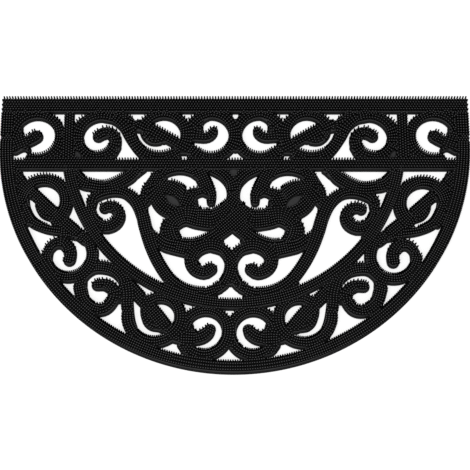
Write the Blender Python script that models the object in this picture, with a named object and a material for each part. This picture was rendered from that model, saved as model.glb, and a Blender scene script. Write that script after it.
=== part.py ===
"""Half-round rubber doormat, one moulded piece, with scrollwork cut right through.

All tables are in millimetres. The straight edge is at the back (+Y), the round front is at -Y,
and the mat lies flat on Z = 0. The scrolls are drawn for the left half and mirrored.
"""

import bpy
from math import atan2, ceil, cos, hypot, radians, sin
from mathutils.geometry import delaunay_2d_cdt

# Overall size
MM = 0.001
WIDTH = 762.0
THICKNESS = 12.5
ROUND_RADIUS = WIDTH / 2
STRAIGHT_SIDE = 76.2
BACK_Y = (ROUND_RADIUS + STRAIGHT_SIDE) / 2
CENTRE_Y = BACK_Y - STRAIGHT_SIDE

# Straight and concentric rails
BORDER_WIDTH = 21.5
SIDE_WIDTH = 22.8
TOP_WIDTH = 26.8
MIDDLE_Y = 113.0
MIDDLE_WIDTH = 20.2
DIVIDER_X = 271.5
DIVIDER_WIDTH = 16.4
ARCH_X = -2.5
ARCH_Y = 151.1
ARCH_INNER = 260.0
ARCH_OUTER = 280.4
ARCH_START = 188
ARCH_SWEEP = 164
RAIL_OVERLAP = 2.0

# The scrolls below the middle rail lean a little to one side, as moulded
LEAN = 0.029
TURN = 0.006
LEAN_FROM_Y = 125.8
PANEL_SHIFT = 1.5
RIGHT_SHIFT = -1.5
BORDER_LEAN = 0.006

# Fineness of the outline
CURVE_STEP = 6.5
ARC_STEP_DEG = 11.0
CAP_STEPS = 6
RING_STEPS = 84
INNER_LIMIT = 0.95
MERGE_DISTANCE = 0.9
FLAT_TOLERANCE = 0.10
SMALLEST_HOLE_AREA = 30.0
SMALLEST_HOLE_WIDTH = 3.2
WELD = 0.0005

# Scrolls in the straight panels: name, then rows of (x, y, half width)
PANEL_BARS = [
    ("end_hook", [(-363.5, 146.0, 15.0), (-352.5, 149.5, 14.5), (-327.5, 161.0, 12.5)]),
    ("end_tie", [(-357.5, 136.5, 5.0), (-344.5, 137.5, 4.0), (-337.0, 136.0, 3.5)]),
    ("end_web_low", [(-293.0, 132.5, 7.0), (-285.0, 127.5, 6.5)]),
    ("end_web_high", [(-357.0, 201.0, 4.0), (-354.0, 198.0, 5.0)]),
    ("coil", [(-255.0, 157.5, 8.5), (-251.5, 141.5, 9.0), (-238.0, 129.0, 9.0),
              (-223.5, 126.5, 9.5), (-208.0, 134.0, 11.0), (-197.5, 147.0, 11.2),
              (-197.5, 160.5, 10.8), (-206.0, 168.0, 10.5), (-217.0, 167.0, 11.0),
              (-223.5, 162.0, 10.0)]),
    ("coil_foot", [(-222.0, 128.0, 10.0), (-205.5, 130.0, 12.0), (-196.0, 143.5, 10.5)]),
    ("coil_web_high", [(-259.5, 179.5, 6.5), (-249.0, 189.5, 7.0), (-235.0, 198.5, 6.5)]),
    ("coil_web_low", [(-264.5, 142.0, 8.0), (-256.0, 130.5, 9.5), (-241.5, 122.5, 8.0)]),
    ("sweep", [(-215.5, 195.0, 8.5), (-197.5, 191.0, 9.0), (-182.0, 179.0, 9.5),
               (-170.5, 160.0, 10.0), (-156.5, 140.5, 10.5), (-138.5, 121.0, 10.5)]),
    ("sweep_web", [(-205.5, 201.5, 7.5), (-187.5, 197.0, 9.0), (-173.0, 186.0, 10.0),
                   (-164.0, 184.0, 8.0), (-159.0, 190.5, 5.5)]),
    ("slash", [(-151.5, 183.0, 10.0), (-134.0, 172.5, 10.0), (-98.0, 151.5, 10.0),
               (-75.0, 139.0, 10.0)]),
    ("slash_belly", [(-150.0, 179.5, 6.5), (-143.5, 170.0, 10.5), (-134.5, 163.5, 16.5),
                     (-125.5, 160.0, 17.0), (-117.0, 154.0, 11.0)]),
    ("slash_foot", [(-96.0, 137.0, 6.0), (-78.0, 136.0, 5.0)]),
    ("middle_hook", [(-75.0, 163.5, 11.0), (-58.5, 161.5, 10.5), (-50.0, 161.5, 11.0),
                     (-41.5, 166.0, 12.5)]),
    ("middle_lip", [(-60.5, 186.0, 7.5), (-58.5, 176.0, 6.0)]),
    ("middle_web", [(-10.0, 194.5, 7.5), (0.0, 190.5, 7.5)]),
]

# Scrolls in the straight panels: name, centre x, centre y, radius, start, sweep (degrees), half widths
PANEL_ARCS = [
    ("end_ring", -323.0, 160.5, 38.0, 255, 268, 9.5, 8.0),
    ("coil_top", -218.0, 157.5, 37.5, 180, -100, 8.0, 8.0),
    ("slash_ring_high", -117.5, 163.5, 37.0, -30, 185, 9.8, 9.8),
    ("slash_ring_low", -124.0, 173.5, 46.3, 200, 130, 8.8, 8.8),
    ("middle_ring", -40.0, 163.0, 37.2, 215, 288, 9.8, 8.0),
]

# Scrolls under the arch: name, then rows of (x, y, half width)
FIELD_BARS = [
    ("saucer", [(-264.0, 104.5, 10.0), (-245.5, 82.5, 11.5), (-227.5, 76.5, 10.5),
                (-209.5, 74.5, 10.0), (-190.0, 79.5, 11.0), (-170.5, 90.5, 12.0),
                (-158.0, 103.5, 10.0)]),
    ("outer_coil", [(-228.0, 36.5, 8.2), (-221.0, 17.5, 10.0), (-204.0, 7.0, 11.0),
                    (-188.0, 13.0, 11.5), (-182.0, 27.0, 10.5), (-190.5, 39.5, 10.0),
                    (-202.0, 41.5, 10.0), (-206.0, 39.0, 9.5)]),
    ("lyre", [(-228.0, 36.5, 8.2), (-225.0, 54.5, 10.0), (-211.5, 64.0, 10.8),
              (-191.0, 67.5, 10.0), (-172.5, 63.5, 9.8), (-156.0, 49.0, 10.4),
              (-145.0, 27.0, 10.8), (-138.0, 2.5, 10.8), (-128.5, -26.0, 10.0),
              (-114.0, -54.5, 9.8), (-94.5, -80.5, 9.8), (-70.5, -95.5, 9.8),
              (-42.5, -101.0, 10.4), (-18.5, -94.5, 10.0)]),
    ("inner_coil", [(-2.0, -44.0, 9.8), (-14.5, -30.0, 9.8), (-33.5, -24.0, 9.8),
                    (-53.0, -30.0, 10.4), (-64.0, -44.5, 11.4), (-58.5, -60.0, 11.3),
                    (-43.5, -67.0, 11.0), (-33.5, -61.0, 10.0)]),
    ("inner_ring", [(-33.5, -24.0, 9.8), (-14.5, -30.5, 9.8), (-3.0, -47.0, 9.8),
                    (-3.0, -66.5, 9.8), (-12.0, -85.5, 9.8), (-31.5, -98.0, 9.8)]),
    ("inner_stem", [(-127.0, -8.0, 9.0), (-108.5, -22.5, 10.3), (-85.5, -29.0, 11.0),
                    (-59.5, -34.5, 11.4)]),
    ("heart", [(14.0, 29.5, 13.0), (-8.5, 8.5, 13.0), (-34.0, -11.0, 12.7),
               (-59.5, -22.0, 13.0), (-86.0, -21.5, 14.7), (-100.0, -5.5, 15.2),
               (-98.0, 12.5, 14.7), (-77.5, 24.5, 15.5), (-54.5, 22.0, 17.0),
               (-31.5, 23.0, 16.8), (-12.5, 36.0, 13.8), (0.0, 52.5, 11.4)]),
    ("leaf", [(-127.5, 87.0, 9.5), (-126.0, 76.0, 18.0), (-110.0, 62.0, 29.4),
              (-91.5, 48.0, 29.8), (-74.5, 40.0, 19.6), (-54.5, 27.5, 13.0)]),
    ("leaf_edge", [(-117.0, 105.5, 9.8), (-127.0, 87.5, 11.5), (-137.0, 68.0, 12.0),
                   (-141.0, 50.0, 9.5)]),
    ("stem", [(-62.0, 112.5, 11.4), (-53.5, 94.5, 12.0), (-45.0, 78.0, 11.5),
              (-36.5, 63.5, 8.8), (-36.0, 50.0, 7.5)]),
    ("crook", [(-75.0, 55.0, 13.0), (-64.0, 64.0, 10.8), (-51.0, 66.5, 8.0), (-41.0, 63.0, 7.4)]),
    ("bud_high", [(-125.0, 89.0, 9.8), (-109.0, 100.5, 9.0), (-89.5, 105.5, 9.5),
                  (-70.0, 102.5, 9.8), (-53.0, 91.5, 9.8)]),
    ("bud_side", [(-57.0, 112.5, 9.8), (-35.5, 104.5, 9.8), (-17.5, 94.0, 9.8),
                  (-4.5, 77.0, 9.8), (-2.5, 55.5, 9.8), (-9.0, 37.5, 11.4)]),
    ("peak", [(-21.0, 106.0, 9.0), (0.0, 99.5, 9.8)]),
    ("first_slash", [(-355.0, 94.5, 10.6), (-333.5, 73.0, 9.8), (-289.0, 33.0, 9.2),
                     (-251.5, 1.5, 9.2)]),
    ("first_belly", [(-314.0, 52.0, 6.0), (-307.0, 41.5, 11.5), (-298.0, 33.0, 14.5),
                     (-288.0, 25.5, 13.0), (-279.5, 19.5, 8.0)]),
    ("first_bowl", [(-338.0, 58.5, 9.8), (-334.0, 37.5, 9.8), (-320.5, 17.0, 9.8),
                    (-299.0, 6.0, 10.0), (-276.0, 2.0, 10.0), (-253.0, -0.5, 10.2),
                    (-233.0, -13.5, 11.0)]),
    ("second_curl", [(-292.5, -49.0, 8.6), (-291.0, -32.5, 9.0), (-281.5, -21.0, 10.0),
                     (-268.5, -20.0, 11.0), (-258.5, -30.0, 10.8), (-256.0, -39.0, 10.3),
                     (-257.0, -47.5, 10.3)]),
    ("third_curl", [(-237.0, -92.5, 11.0), (-230.0, -114.0, 11.0), (-213.5, -127.0, 11.0),
                    (-195.5, -126.0, 10.6), (-183.5, -110.0, 10.3), (-185.5, -95.5, 10.6),
                    (-198.0, -87.5, 10.4), (-209.0, -87.5, 9.5)]),
    ("third_crown", [(-237.0, -92.5, 11.0), (-236.0, -76.5, 11.0), (-225.0, -63.5, 11.5),
                     (-210.5, -59.0, 11.0), (-187.5, -63.0, 11.0), (-170.5, -77.5, 10.6),
                     (-163.5, -98.5, 10.3), (-161.5, -120.0, 10.0), (-157.5, -144.5, 9.8),
                     (-150.0, -165.5, 9.8)]),
    ("fourth_slash", [(-169.0, -77.5, 10.6), (-155.5, -93.5, 10.8), (-138.5, -111.5, 10.8),
                      (-120.0, -129.5, 10.8), (-101.5, -151.5, 10.4), (-89.0, -166.0, 9.8)]),
    ("fourth_belly", [(-136.0, -119.5, 6.0), (-131.0, -131.0, 11.0), (-122.5, -141.5, 16.2),
                      (-113.0, -148.0, 16.0), (-105.0, -154.0, 11.0)]),
    ("fifth_hook", [(-84.0, -172.0, 9.5), (-68.5, -172.5, 11.5), (-52.0, -173.0, 11.5),
                    (-42.0, -169.5, 12.5), (-33.5, -163.5, 12.0)]),
    ("fifth_web", [(-76.0, -183.0, 7.5), (-70.0, -192.0, 9.0)]),
]

# Scrolls under the arch: name, centre x, centre y, radius, start, sweep (degrees), half widths
FIELD_ARCS = [
    ("first_ring", -305.0, 48.0, 37.5, -60, 230, 10.9, 10.6),
    ("second_ring", -257.5, -40.0, 36.2, 50, -230, 8.8, 9.5),
    ("fourth_ring_high", -109.5, -140.0, 32.0, 120, -170, 10.0, 9.8),
    ("fourth_ring_low", -117.5, -136.5, 42.8, 180, 130, 9.8, 9.8),
    ("fifth_ring", -38.0, -163.5, 35.4, 235, 290, 10.8, 9.8),
]


def clear_scene():
    for item in list(bpy.data.objects):
        bpy.data.objects.remove(item, do_unlink=True)


def smooth_rows(rows):
    """Points along a smooth line through the rows, each (x, y, half width)."""
    first = tuple(2 * a - b for a, b in zip(rows[0], rows[1]))
    last = tuple(2 * a - b for a, b in zip(rows[-1], rows[-2]))
    line = [first] + rows + [last]
    points = []
    for p, a, b, q in zip(line, line[1:], line[2:], line[3:]):
        steps = max(2, ceil(hypot(b[0] - a[0], b[1] - a[1]) / CURVE_STEP))
        for step in range(steps):
            t = step / steps
            points.append(tuple(
                0.5 * (2 * v1 + (v2 - v0) * t + (2 * v0 - 5 * v1 + 4 * v2 - v3) * t ** 2
                       + (3 * v1 - v0 - 3 * v2 + v3) * t ** 3)
                for v0, v1, v2, v3 in zip(p, a, b, q)))
    points.append(rows[-1])
    return points


def arc_rows(x, y, radius, start, sweep, half_start, half_end):
    """Points along a part circle, each (x, y, half width)."""
    steps = ceil(abs(sweep) / ARC_STEP_DEG)
    points = []
    for step in range(steps + 1):
        t = step / steps
        angle = radians(start + sweep * t)
        half = half_start + (half_end - half_start) * t
        points.append((x + radius * cos(angle), y + radius * sin(angle), half))
    return points


def placed(rows, side, in_field):
    """The rows on the left (-1 keeps them) or mirrored to the right, with the lean put in."""
    points = []
    shift = RIGHT_SHIFT if side > 0 else 0.0
    for x, y, half in rows:
        out_x = -side * x
        if in_field:
            lean = LEAN * min(0.0, y - LEAN_FROM_Y)
            points.append((out_x + shift + lean, y - TURN * out_x, half))
        else:
            points.append((out_x + shift + PANEL_SHIFT, y, half))
    return points


def signed_area(loop):
    total = 0.0
    for (x0, y0), (x1, y1) in zip(loop, loop[1:] + loop[:1]):
        total += x0 * y1 - x1 * y0
    return total / 2


def add_polygon(pieces, loop):
    area = signed_area(loop)
    if abs(area) > 1e-3:
        pieces.append(loop if area > 0 else loop[::-1])


def turn_radius(a, b, c):
    """Signed radius of the circle through three points, positive where the line turns left."""
    cross = (b[0] - a[0]) * (c[1] - b[1]) - (b[1] - a[1]) * (c[0] - b[0])
    sides = (hypot(b[0] - a[0], b[1] - a[1]) * hypot(c[0] - b[0], c[1] - b[1])
             * hypot(c[0] - a[0], c[1] - a[1]))
    return sides / (2 * cross) if abs(cross) > 1e-6 else 1e9


def bar_polygons(rows):
    """A bar of changing width: short quads along the line and a round cap at each end."""
    pieces = []
    left, right = [], []
    for i, (x, y, half) in enumerate(rows):
        before = rows[max(i - 1, 0)]
        after = rows[min(i + 1, len(rows) - 1)]
        run = hypot(after[0] - before[0], after[1] - before[1])
        nx, ny = -(after[1] - before[1]) / run, (after[0] - before[0]) / run
        bend = turn_radius(before, (x, y), after) if 0 < i < len(rows) - 1 else 1e9
        left_half = min(half, INNER_LIMIT * bend) if bend > 0 else half
        right_half = min(half, -INNER_LIMIT * bend) if bend < 0 else half
        left.append((x + nx * left_half, y + ny * left_half))
        right.append((x - nx * right_half, y - ny * right_half))
    for i in range(len(rows) - 1):
        add_polygon(pieces, [right[i], right[i + 1], left[i + 1]])
        add_polygon(pieces, [right[i], left[i + 1], left[i]])
    for end, rim in ((rows[0], left[0]), (rows[-1], right[-1])):
        x, y, half = end
        start = atan2(rim[1] - y, rim[0] - x)
        cap = []
        for step in range(CAP_STEPS + 1):
            angle = start + radians(180.0) * step / CAP_STEPS
            cap.append((x + half * cos(angle), y + half * sin(angle)))
        add_polygon(pieces, cap)
    return pieces


def ring_polygons(x, y, inner, outer, start, sweep, lean):
    pieces = []
    for step in range(RING_STEPS):
        loop = []
        for radius, place in ((inner, step), (outer, step), (outer, step + 1), (inner, step + 1)):
            angle = radians(start + sweep * place / RING_STEPS)
            down = radius * sin(angle)
            loop.append((x + radius * cos(angle) + lean * down, y + down))
        add_polygon(pieces, loop)
    return pieces


def box_polygon(x0, y0, x1, y1):
    return [(x0, y0), (x1, y0), (x1, y1), (x0, y1)]


def rail_polygons():
    outer = ROUND_RADIUS
    pieces = ring_polygons(0.0, CENTRE_Y, outer - BORDER_WIDTH, outer, 180, 180, BORDER_LEAN)
    pieces += ring_polygons(ARCH_X, ARCH_Y, ARCH_INNER, ARCH_OUTER, ARCH_START, ARCH_SWEEP, 0.0)
    pieces.append(box_polygon(-outer, BACK_Y - TOP_WIDTH, outer, BACK_Y))
    for side in (-1, 1):
        edge = side * outer
        inside = side * (outer - SIDE_WIDTH)
        low, high = sorted((edge, inside))
        pieces.append(box_polygon(low, CENTRE_Y, high, BACK_Y - RAIL_OVERLAP))
        middle = PANEL_SHIFT + side * DIVIDER_X
        pieces.append(box_polygon(middle - DIVIDER_WIDTH / 2, MIDDLE_Y, middle + DIVIDER_WIDTH / 2,
                                  BACK_Y - RAIL_OVERLAP))
    reach = outer - BORDER_WIDTH / 2
    pieces.append(box_polygon(-reach, MIDDLE_Y - MIDDLE_WIDTH / 2, reach,
                              MIDDLE_Y + MIDDLE_WIDTH / 2))
    return pieces


def scroll_polygons():
    pieces = []
    for bars, arcs, in_field in ((PANEL_BARS, PANEL_ARCS, False), (FIELD_BARS, FIELD_ARCS, True)):
        lines = [smooth_rows(rows) for _, rows in bars]
        lines += [arc_rows(*row[1:]) for row in arcs]
        for line in lines:
            for side in (-1, 1):
                pieces += bar_polygons(placed(line, side, in_field))
    return pieces


def covered_edges(polygons):
    """Outline edges of everything the polygons cover, each as an ordered pair of points."""
    coords, faces = [], []
    for loop in polygons:
        faces.append(list(range(len(coords), len(coords) + len(loop))))
        coords += loop
    verts, _, tris, _, _, origins = delaunay_2d_cdt(coords, [], faces, 1, WELD, True)
    solid = [tri for tri, origin in zip(tris, origins) if origin]
    directed = set()
    for tri in solid:
        for i in range(len(tri)):
            directed.add((tri[i], tri[(i + 1) % len(tri)]))
    outline = [(a, b) for a, b in directed if (b, a) not in directed]
    return [tuple(v) for v in verts], sorted(outline)


def chained_loops(verts, outline):
    following = {}
    for a, b in outline:
        following.setdefault(a, []).append(b)
    loops = []
    while following:
        start = min(following)
        loop = []
        here = start
        while here in following:
            options = following[here]
            step = options.pop(0)
            if not options:
                del following[here]
            loop.append(verts[here])
            here = step
        loops.append(loop)
    return loops


def cleaned(loop):
    """The loop without points that crowd together or lie on a straight run."""
    points = []
    for point in loop:
        if not points or hypot(point[0] - points[-1][0], point[1] - points[-1][1]) > MERGE_DISTANCE:
            points.append(point)
    while len(points) > 3 and hypot(points[0][0] - points[-1][0],
                                    points[0][1] - points[-1][1]) < MERGE_DISTANCE:
        points.pop()
    changed = True
    while changed and len(points) > 3:
        changed = False
        kept = []
        skip = False
        for i, point in enumerate(points):
            before = kept[-1] if kept else points[i - 1]
            after = points[(i + 1) % len(points)]
            run = hypot(after[0] - before[0], after[1] - before[1])
            off = abs((after[0] - before[0]) * (point[1] - before[1])
                      - (after[1] - before[1]) * (point[0] - before[0]))
            if not skip and run > 0 and off / run < FLAT_TOLERANCE:
                skip = True
                changed = True
            else:
                skip = False
                kept.append(point)
        points = kept
    return points


def perimeter(loop):
    return sum(hypot(a[0] - b[0], a[1] - b[1]) for a, b in zip(loop, loop[1:] + loop[:1]))


def mat_loops():
    verts, outline = covered_edges(rail_polygons() + scroll_polygons())
    loops = [cleaned(loop) for loop in chained_loops(verts, outline)]
    loops.sort(key=lambda loop: -abs(signed_area(loop)))
    outer = loops[0]
    holes = []
    for loop in loops[1:]:
        area = abs(signed_area(loop))
        if area > SMALLEST_HOLE_AREA and 2 * area / perimeter(loop) > SMALLEST_HOLE_WIDTH / 2:
            holes.append(loop if signed_area(loop) > 0 else loop[::-1])
    return outer if signed_area(outer) > 0 else outer[::-1], holes


def build_mat():
    outer, holes = mat_loops()
    coords, faces = [], []
    for loop in [outer] + holes:
        faces.append(list(range(len(coords), len(coords) + len(loop))))
        coords += loop
    verts, _, tris, _, _, origins = delaunay_2d_cdt(coords, [], faces, 1, WELD, True)
    solid = [tri for tri, origin in zip(tris, origins) if origin == [0]]
    used = sorted({index for tri in solid for index in tri})
    low = {index: place for place, index in enumerate(used)}
    high = {index: place + len(used) for place, index in enumerate(used)}
    points = [(verts[i][0] * MM, verts[i][1] * MM, 0.0) for i in used]
    points += [(verts[i][0] * MM, verts[i][1] * MM, THICKNESS * MM) for i in used]
    surfaces = [tuple(high[i] for i in tri) for tri in solid]
    surfaces += [tuple(low[i] for i in reversed(tri)) for tri in solid]
    directed = {(tri[i], tri[(i + 1) % 3]) for tri in solid for i in range(3)}
    for a, b in sorted(directed):
        if (b, a) not in directed:
            surfaces.append((low[a], low[b], high[b], high[a]))
    mesh = bpy.data.meshes.new("mat")
    mesh.from_pydata(points, [], surfaces)
    mesh.validate()
    mat = bpy.data.objects.new("mat", mesh)
    bpy.context.scene.collection.objects.link(mat)
    return mat


def rubber_material():
    rubber = bpy.data.materials.new("rubber")
    rubber.use_nodes = True
    shader = rubber.node_tree.nodes["Principled BSDF"]
    shader.inputs["Base Color"].default_value = (0.020, 0.020, 0.021, 1.0)
    shader.inputs["Roughness"].default_value = 0.62
    return rubber


clear_scene()
mat_body = build_mat()
mat_body.data.materials.append(rubber_material())
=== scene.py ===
"""Half-round rubber doormat with scrollwork cut through it and a top covered in short rubber pins.

Tables are in millimetres in the frame of the mat: the straight edge is at +Y, the round front at -Y,
and the floor at Z = 0. The scrolls are drawn for the left half and mirrored.
"""

from math import atan2, ceil, cos, hypot, pi, radians, sin, sqrt

import bpy
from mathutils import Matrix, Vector
from mathutils.geometry import delaunay_2d_cdt
from mathutils.kdtree import KDTree


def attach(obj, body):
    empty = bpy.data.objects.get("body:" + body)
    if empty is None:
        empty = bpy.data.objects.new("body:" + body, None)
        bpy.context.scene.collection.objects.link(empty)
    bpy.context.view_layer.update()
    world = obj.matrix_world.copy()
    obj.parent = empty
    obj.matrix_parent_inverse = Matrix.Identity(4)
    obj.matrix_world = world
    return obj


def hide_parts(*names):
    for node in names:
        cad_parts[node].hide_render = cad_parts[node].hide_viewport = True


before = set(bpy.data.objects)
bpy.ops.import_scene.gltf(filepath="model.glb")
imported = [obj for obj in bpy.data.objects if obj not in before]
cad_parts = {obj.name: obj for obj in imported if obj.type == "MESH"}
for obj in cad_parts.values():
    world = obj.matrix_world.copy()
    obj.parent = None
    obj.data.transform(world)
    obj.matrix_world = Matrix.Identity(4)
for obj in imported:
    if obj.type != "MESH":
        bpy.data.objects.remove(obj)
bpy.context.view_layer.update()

# Overall size
MM = 0.001
WIDTH = 762.0
ROUND_RADIUS = WIDTH / 2
STRAIGHT_SIDE = 76.2
BACK_Y = (ROUND_RADIUS + STRAIGHT_SIDE) / 2
CENTRE_Y = BACK_Y - STRAIGHT_SIDE
PLATE_TOP = 4.7
PIN_TOP = 12.5

# The slope round every edge of the plate, and the thin ridge at its top on edges that face the front,
# which is coloured lighter as a painted highlight
SLOPE_START = 0.3
SLOPE_IN = 3.2
SLOPE_DROP = 1.3
RIDGE_WIDTH = 1.3
RIDGE_RISE = 0.25
RIDGE_FACING = 0.3
NARROWEST_TOP = 1.0

# The place from which a wall counts as facing the front, and the step between samples of the walls
FRONT_X = 0.0
FRONT_Y = -660.0
EDGE_SAMPLE = 0.6

# Straight and concentric rails, angles in degrees
BORDER_WIDTH = 21.5
SIDE_WIDTH = 22.8
TOP_WIDTH = 26.8
MIDDLE_Y = 113.0
MIDDLE_WIDTH = 20.2
DIVIDER_X = 271.5
DIVIDER_WIDTH = 16.4
ARCH_X = -2.5
ARCH_Y = 151.1
ARCH_INNER = 260.0
ARCH_OUTER = 278.6
ARCH_START = 188
ARCH_SWEEP = 164
RAIL_OVERLAP = 2.0

# The pattern leans a little to one side, as moulded: shift per mm of depth, turn, and plain shifts
LEAN = 0.029
TURN = 0.006
LEAN_FROM_Y = 125.8
PANEL_SHIFT = 1.5
RIGHT_SHIFT = -1.5
BORDER_LEAN = 0.006

# Fineness of the outline
RAIL_STEP_DEG = 0.25
CURVE_STEP = 4.5
ARC_STEP_DEG = 8.0
WEB_STEP = 1.0
WEB_THINNING = 4
CAP_STEPS = 8
RING_STEPS = 120
INNER_LIMIT = 0.95
MERGE_DISTANCE = 0.6
FLAT_TOLERANCE = 0.04
SMALLEST_HOLE_AREA = 30.0
SMALLEST_HOLE_WIDTH = 3.2
WELD = 0.0005
LEAST_AREA = 1e-3
LEAST_CROSS = 1e-6
STRAIGHT = 1e9
PLATE_SHARP_DEG = 24.0

# One pin
PIN_BASE_RADIUS = 1.45
PIN_NECK_RADIUS = 1.3
PIN_TIP_RADIUS = 0.85
PIN_NECK = 0.7
PIN_ROUND = 0.15
PIN_SIDES = 7
PIN_SUNK = 1.2
PIN_SHARP_DEG = 60.0

# Pins lean out over walls that face the back: how near and how squarely, and by how much at the
# back edge of the mat and at the openings
BACK_ROW = 2.5
BACK_FACING = 0.35
BACK_LEAN = 1.4
HOLE_LEAN = 0.7

# Margins kept free of pins along every edge, and along those that face the front; the share of them
# that a bar's own pins keep; and the gaps to earlier bars and between any two pins
PIN_EDGE = 1.0
PIN_FRONT_EDGE = 5.4
EDGE_SHARE = 0.7
PIN_GAP = 1.2
PIN_CROWD = 2.75

# Steps of the lines that pins follow, then the distance between pins along a bar (pitch) and, about,
# across it (rows)
PIN_LINE_STEP = 1.0
PIN_LINE_STEP_DEG = 1.5
RAIL_PITCH = 4.55
RAIL_ROWS = 4.1
BORDER_PITCH = 3.8
BORDER_ROWS = 4.2
SCROLL_PITCH = 3.9
PANEL_PITCH = 4.8
SCROLL_ROWS = 4.2
FILL_PITCH = 3.5
FILL_STEP = 1.1
CELL = 6.0

# Scrolls in the straight panels: name, then rows of (x, y, half width)
PANEL_BARS = [
    ("end_hook", [(-363.5, 143.0, 12.5), (-352.5, 147.3, 11.8), (-333.2, 155.5, 10.6),
                  (-324.9, 161.7, 11.7)]),
    ("coil", [(-255.0, 157.5, 8.5), (-251.5, 141.5, 9.0), (-238.0, 129.0, 9.0),
              (-223.5, 126.5, 9.5), (-206.5, 132.5, 9.5), (-196.3, 147.0, 10.2),
              (-197.5, 160.5, 10.8), (-206.0, 168.0, 10.5), (-217.0, 167.0, 11.0),
              (-223.5, 162.0, 10.0)]),
    ("coil_foot", [(-222.0, 128.0, 9.0), (-205.5, 130.0, 11.0), (-196.0, 143.5, 10.5)]),
    ("sweep", [(-215.5, 195.0, 8.5), (-197.5, 191.0, 9.0), (-182.0, 179.0, 9.5),
               (-170.5, 160.0, 10.0), (-156.5, 140.5, 10.5), (-138.5, 121.0, 10.5)]),
    ("slash", [(-151.5, 183.0, 10.0), (-134.0, 172.5, 10.0), (-98.0, 151.5, 10.0),
               (-78.0, 140.0, 10.0)]),
    ("slash_belly", [(-150.0, 179.5, 7.5), (-143.5, 170.0, 11.5), (-134.5, 163.5, 16.5),
                     (-125.5, 160.5, 15.0), (-117.0, 157.0, 8.5)]),
    ("middle_hook", [(-75.0, 163.5, 11.0), (-60.2, 161.2, 9.9), (-49.6, 160.1, 9.3),
                     (-42.3, 162.8, 9.1), (-37.4, 168.2, 8.5), (-36.1, 172.3, 7.3)]),
    ("middle_lip", [(-60.5, 186.0, 7.5), (-58.5, 176.0, 6.0)]),
]

# Scrolls in the straight panels: name, centre x, centre y, radius, start, sweep (degrees), half widths
PANEL_ARCS = [
    ("end_ring", -323.0, 160.5, 38.0, 255, 268, 9.5, 8.0),
    ("coil_top", -218.0, 157.5, 37.5, 180, -100, 8.0, 8.0),
    ("slash_ring_high", -117.5, 163.5, 37.0, -30, 185, 9.8, 9.8),
    ("slash_ring_low", -124.0, 173.5, 46.3, 200, 130, 8.8, 8.8),
    ("middle_ring", -40.0, 163.0, 37.2, 228, 275, 8.6, 9.8),
]

# Webs that fill small corners of the straight panels
PANEL_WEBS = [
    ("end_tie", [(-357.5, 136.7, 6.9), (-344.5, 139.7, 3.8), (-337.0, 138.5, 5.5)]),
    ("end_curl", [(-351.2, 176.4, 4.9), (-350.7, 168.2, 4.9), (-346.6, 160.9, 4.9)]),
    ("end_web_low", [(-293.0, 132.5, 7.0), (-285.0, 127.5, 6.5)]),
    ("end_web_high", [(-360.0, 193.0, 5.0), (-354.0, 198.0, 5.0), (-350.0, 200.5, 4.0)]),
    ("end_fill", [(-358.0, 161.0, 6.0), (-352.0, 161.5, 6.0)]),
    ("coil_side", [(-262.0, 172.0, 4.0), (-262.0, 150.0, 4.0)]),
    ("coil_web_high", [(-259.5, 179.5, 6.5), (-249.0, 189.5, 7.0), (-235.0, 198.5, 6.5)]),
    ("coil_web_low", [(-264.5, 142.0, 8.0), (-256.0, 130.5, 9.5), (-241.5, 122.5, 8.0)]),
    ("sweep_web", [(-205.5, 201.5, 7.5), (-187.5, 197.0, 9.0), (-173.0, 186.0, 10.0),
                   (-164.0, 184.0, 8.0), (-158.5, 187.5, 5.0)]),
    ("slash_tip", [(-163.0, 175.0, 5.5), (-156.0, 173.3, 5.7)]),
    ("slash_side", [(-165.0, 173.0, 4.0), (-163.8, 166.0, 3.2)]),
    ("slash_under", [(-151.8, 170.5, 5.0), (-150.6, 165.0, 5.0), (-147.2, 159.2, 5.0),
                     (-142.0, 154.2, 5.0), (-137.4, 151.7, 5.0), (-130.0, 150.8, 5.0),
                     (-123.6, 151.7, 5.0)]),
    ("slash_foot", [(-96.0, 135.2, 6.0), (-78.0, 134.2, 5.0)]),
    ("slash_foot_left", [(-101.7, 120.9, 4.9), (-93.0, 125.4, 4.9), (-93.6, 131.0, 4.9)]),
    ("slash_foot_right", [(-75.4, 132.4, 5.0), (-73.6, 124.6, 5.2), (-63.2, 120.1, 5.2)]),
    ("middle_tip", [(-75.5, 151.0, 5.0), (-72.0, 145.5, 5.0), (-67.5, 141.5, 5.0)]),
    ("middle_fill", [(-74.0, 175.5, 6.5), (-62.0, 175.5, 6.5)]),
    ("middle_curl", [(-58.5, 173.0, 4.4), (-57.6, 180.2, 4.4), (-55.3, 186.2, 4.4),
                     (-50.6, 190.8, 4.4), (-44.7, 193.8, 4.4)]),
    ("middle_side", [(-14.0, 203.0, 5.0), (-10.5, 197.0, 5.0), (-7.2, 191.5, 5.0)]),
    ("middle_web", [(-5.5, 189.2, 5.0), (0.0, 188.1, 5.0)]),
    ("middle_foot", [(-5.5, 140.5, 5.5), (-1.0, 140.0, 6.5)]),
]

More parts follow.
